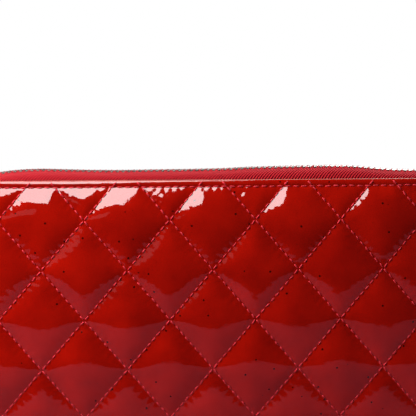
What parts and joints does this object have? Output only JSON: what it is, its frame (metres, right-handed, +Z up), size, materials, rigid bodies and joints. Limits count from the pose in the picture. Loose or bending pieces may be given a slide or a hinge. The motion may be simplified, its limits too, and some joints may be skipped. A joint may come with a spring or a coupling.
{
  "type": "zip around wallet",
  "caption": "Long quilted patent leather wallet with a metal zip round three sides, two padded covers on a spine, card slots, note compartments and a zipped coin pocket.",
  "frame": {"origin": "middle of the flat under the spine, on the surface that the wallet stands on", "axes": "+X along the length towards the slider at rest, -Y out of the front cover, +Z up from the spine to the zip"},
  "size_m": [0.1975, 0.0284, 0.1036],
  "materials": {
    "outer_leather": "red patent, high gloss clear coat",
    "inner_leather": "smooth red calf, satin",
    "lining": "fine red twill",
    "foam": "open foam wadding",
    "stiffener": "pressed fibre board",
    "zip_tape": "woven red twill tape",
    "zip_metal": "nickel plated, tumbled",
    "slider_metal": "polished nickel plate"
  },
  "bodies": {
    "spine_and_pocket": {"back_gusset_inner_left": "inner_leather", "back_gusset_inner_right": "inner_leather", "coin_pocket_back_wall": "lining", "coin_pocket_floor": "lining", "coin_pocket_front_wall": "lining", "coin_pocket_left_side": "lining", "coin_pocket_right_side": "lining", "coin_zip_back_tape": "zip_tape", "coin_zip_back_teeth": "zip_metal", "coin_zip_front_tape": "zip_tape", "coin_zip_front_teeth": "zip_metal", "coin_zip_stops": "zip_metal", "front_gusset_inner_left": "inner_leather", "front_gusset_inner_right": "inner_leather", "left_end_tab": "outer_leather", "right_end_tab": "outer_leather", "spine_board": "stiffener", "spine_leather": "outer_leather", "spine_lining": "lining", "spine_padding": "foam", "zip_bottom_stop": "zip_metal"},
    "front_cover": {"front_card_slots_row_1": "inner_leather", "front_card_slots_row_2": "inner_leather", "front_card_slots_row_3": "inner_leather", "front_cover_board": "stiffener", "front_cover_leather": "outer_leather", "front_cover_lining": "lining", "front_cover_padding": "foam", "front_gusset_outer_left": "inner_leather", "front_gusset_outer_right": "inner_leather", "front_slot_panel": "inner_leather", "front_zip_tape": "zip_tape", "front_zip_teeth": "zip_metal", "front_zip_teeth_slider_run": "zip_metal", "front_zip_top_stop": "zip_metal"},
    "back_cover": {"back_card_slots_row_1": "inner_leather", "back_card_slots_row_2": "inner_leather", "back_card_slots_row_3": "inner_leather", "back_cover_board": "stiffener", "back_cover_leather": "outer_leather", "back_cover_lining": "lining", "back_cover_padding": "foam", "back_gusset_outer_left": "inner_leather", "back_gusset_outer_right": "inner_leather", "back_slot_panel": "inner_leather", "back_zip_tape": "zip_tape", "back_zip_teeth": "zip_metal", "back_zip_teeth_slider_run": "zip_metal", "back_zip_top_stop": "zip_metal"},
    "main_slider": {"main_slider_body": "slider_metal", "main_slider_crown": "slider_metal"},
    "main_pull": {"main_pull_link": "slider_metal", "main_pull_tab": "outer_leather"},
    "coin_slider": {"coin_slider_body": "slider_metal", "coin_slider_crown": "slider_metal"},
    "coin_pull": {"coin_pull": "slider_metal"}
  },
  "joints": [
    {"name": "front_cover_open", "type": "hinge", "parent": "spine_and_pocket", "child": "front_cover", "pos_m": [0, -0.01055, 0.012], "axis": [1, 0, 0], "range_deg": [0, 50]},
    {"name": "back_cover_open", "type": "hinge", "parent": "spine_and_pocket", "child": "back_cover", "pos_m": [0, 0.01055, 0.012], "axis": [1, 0, 0], "range_deg": [-50, 0]},
    {"name": "main_slider_travel", "type": "slide", "parent": "front_cover", "child": "main_slider", "axis": [0, 0, 1], "range_m": [0, 0.045], "deforming": ["front_zip_teeth_slider_run", "back_zip_teeth_slider_run"]},
    {"name": "main_pull_swing", "type": "hinge", "parent": "main_slider", "child": "main_pull", "pos_m": [0.0987, 0, 0.0275], "axis": [0, -1, 0], "range_deg": [0, 175]},
    {"name": "coin_slider_travel", "type": "slide", "parent": "spine_and_pocket", "child": "coin_slider", "axis": [-1, 0, 0], "range_m": [0, 0.14], "deforming": ["coin_zip_front_teeth", "coin_zip_back_teeth"]},
    {"name": "coin_pull_swing", "type": "hinge", "parent": "coin_slider", "child": "coin_pull", "pos_m": [0.0753, 0, 0.08075], "axis": [0, -1, 0], "range_deg": [0, 175]}
  ],
  "couplings": [
    {"joint": "back_cover_open", "follows": "front_cover_open", "ratio": -1}
  ]
}
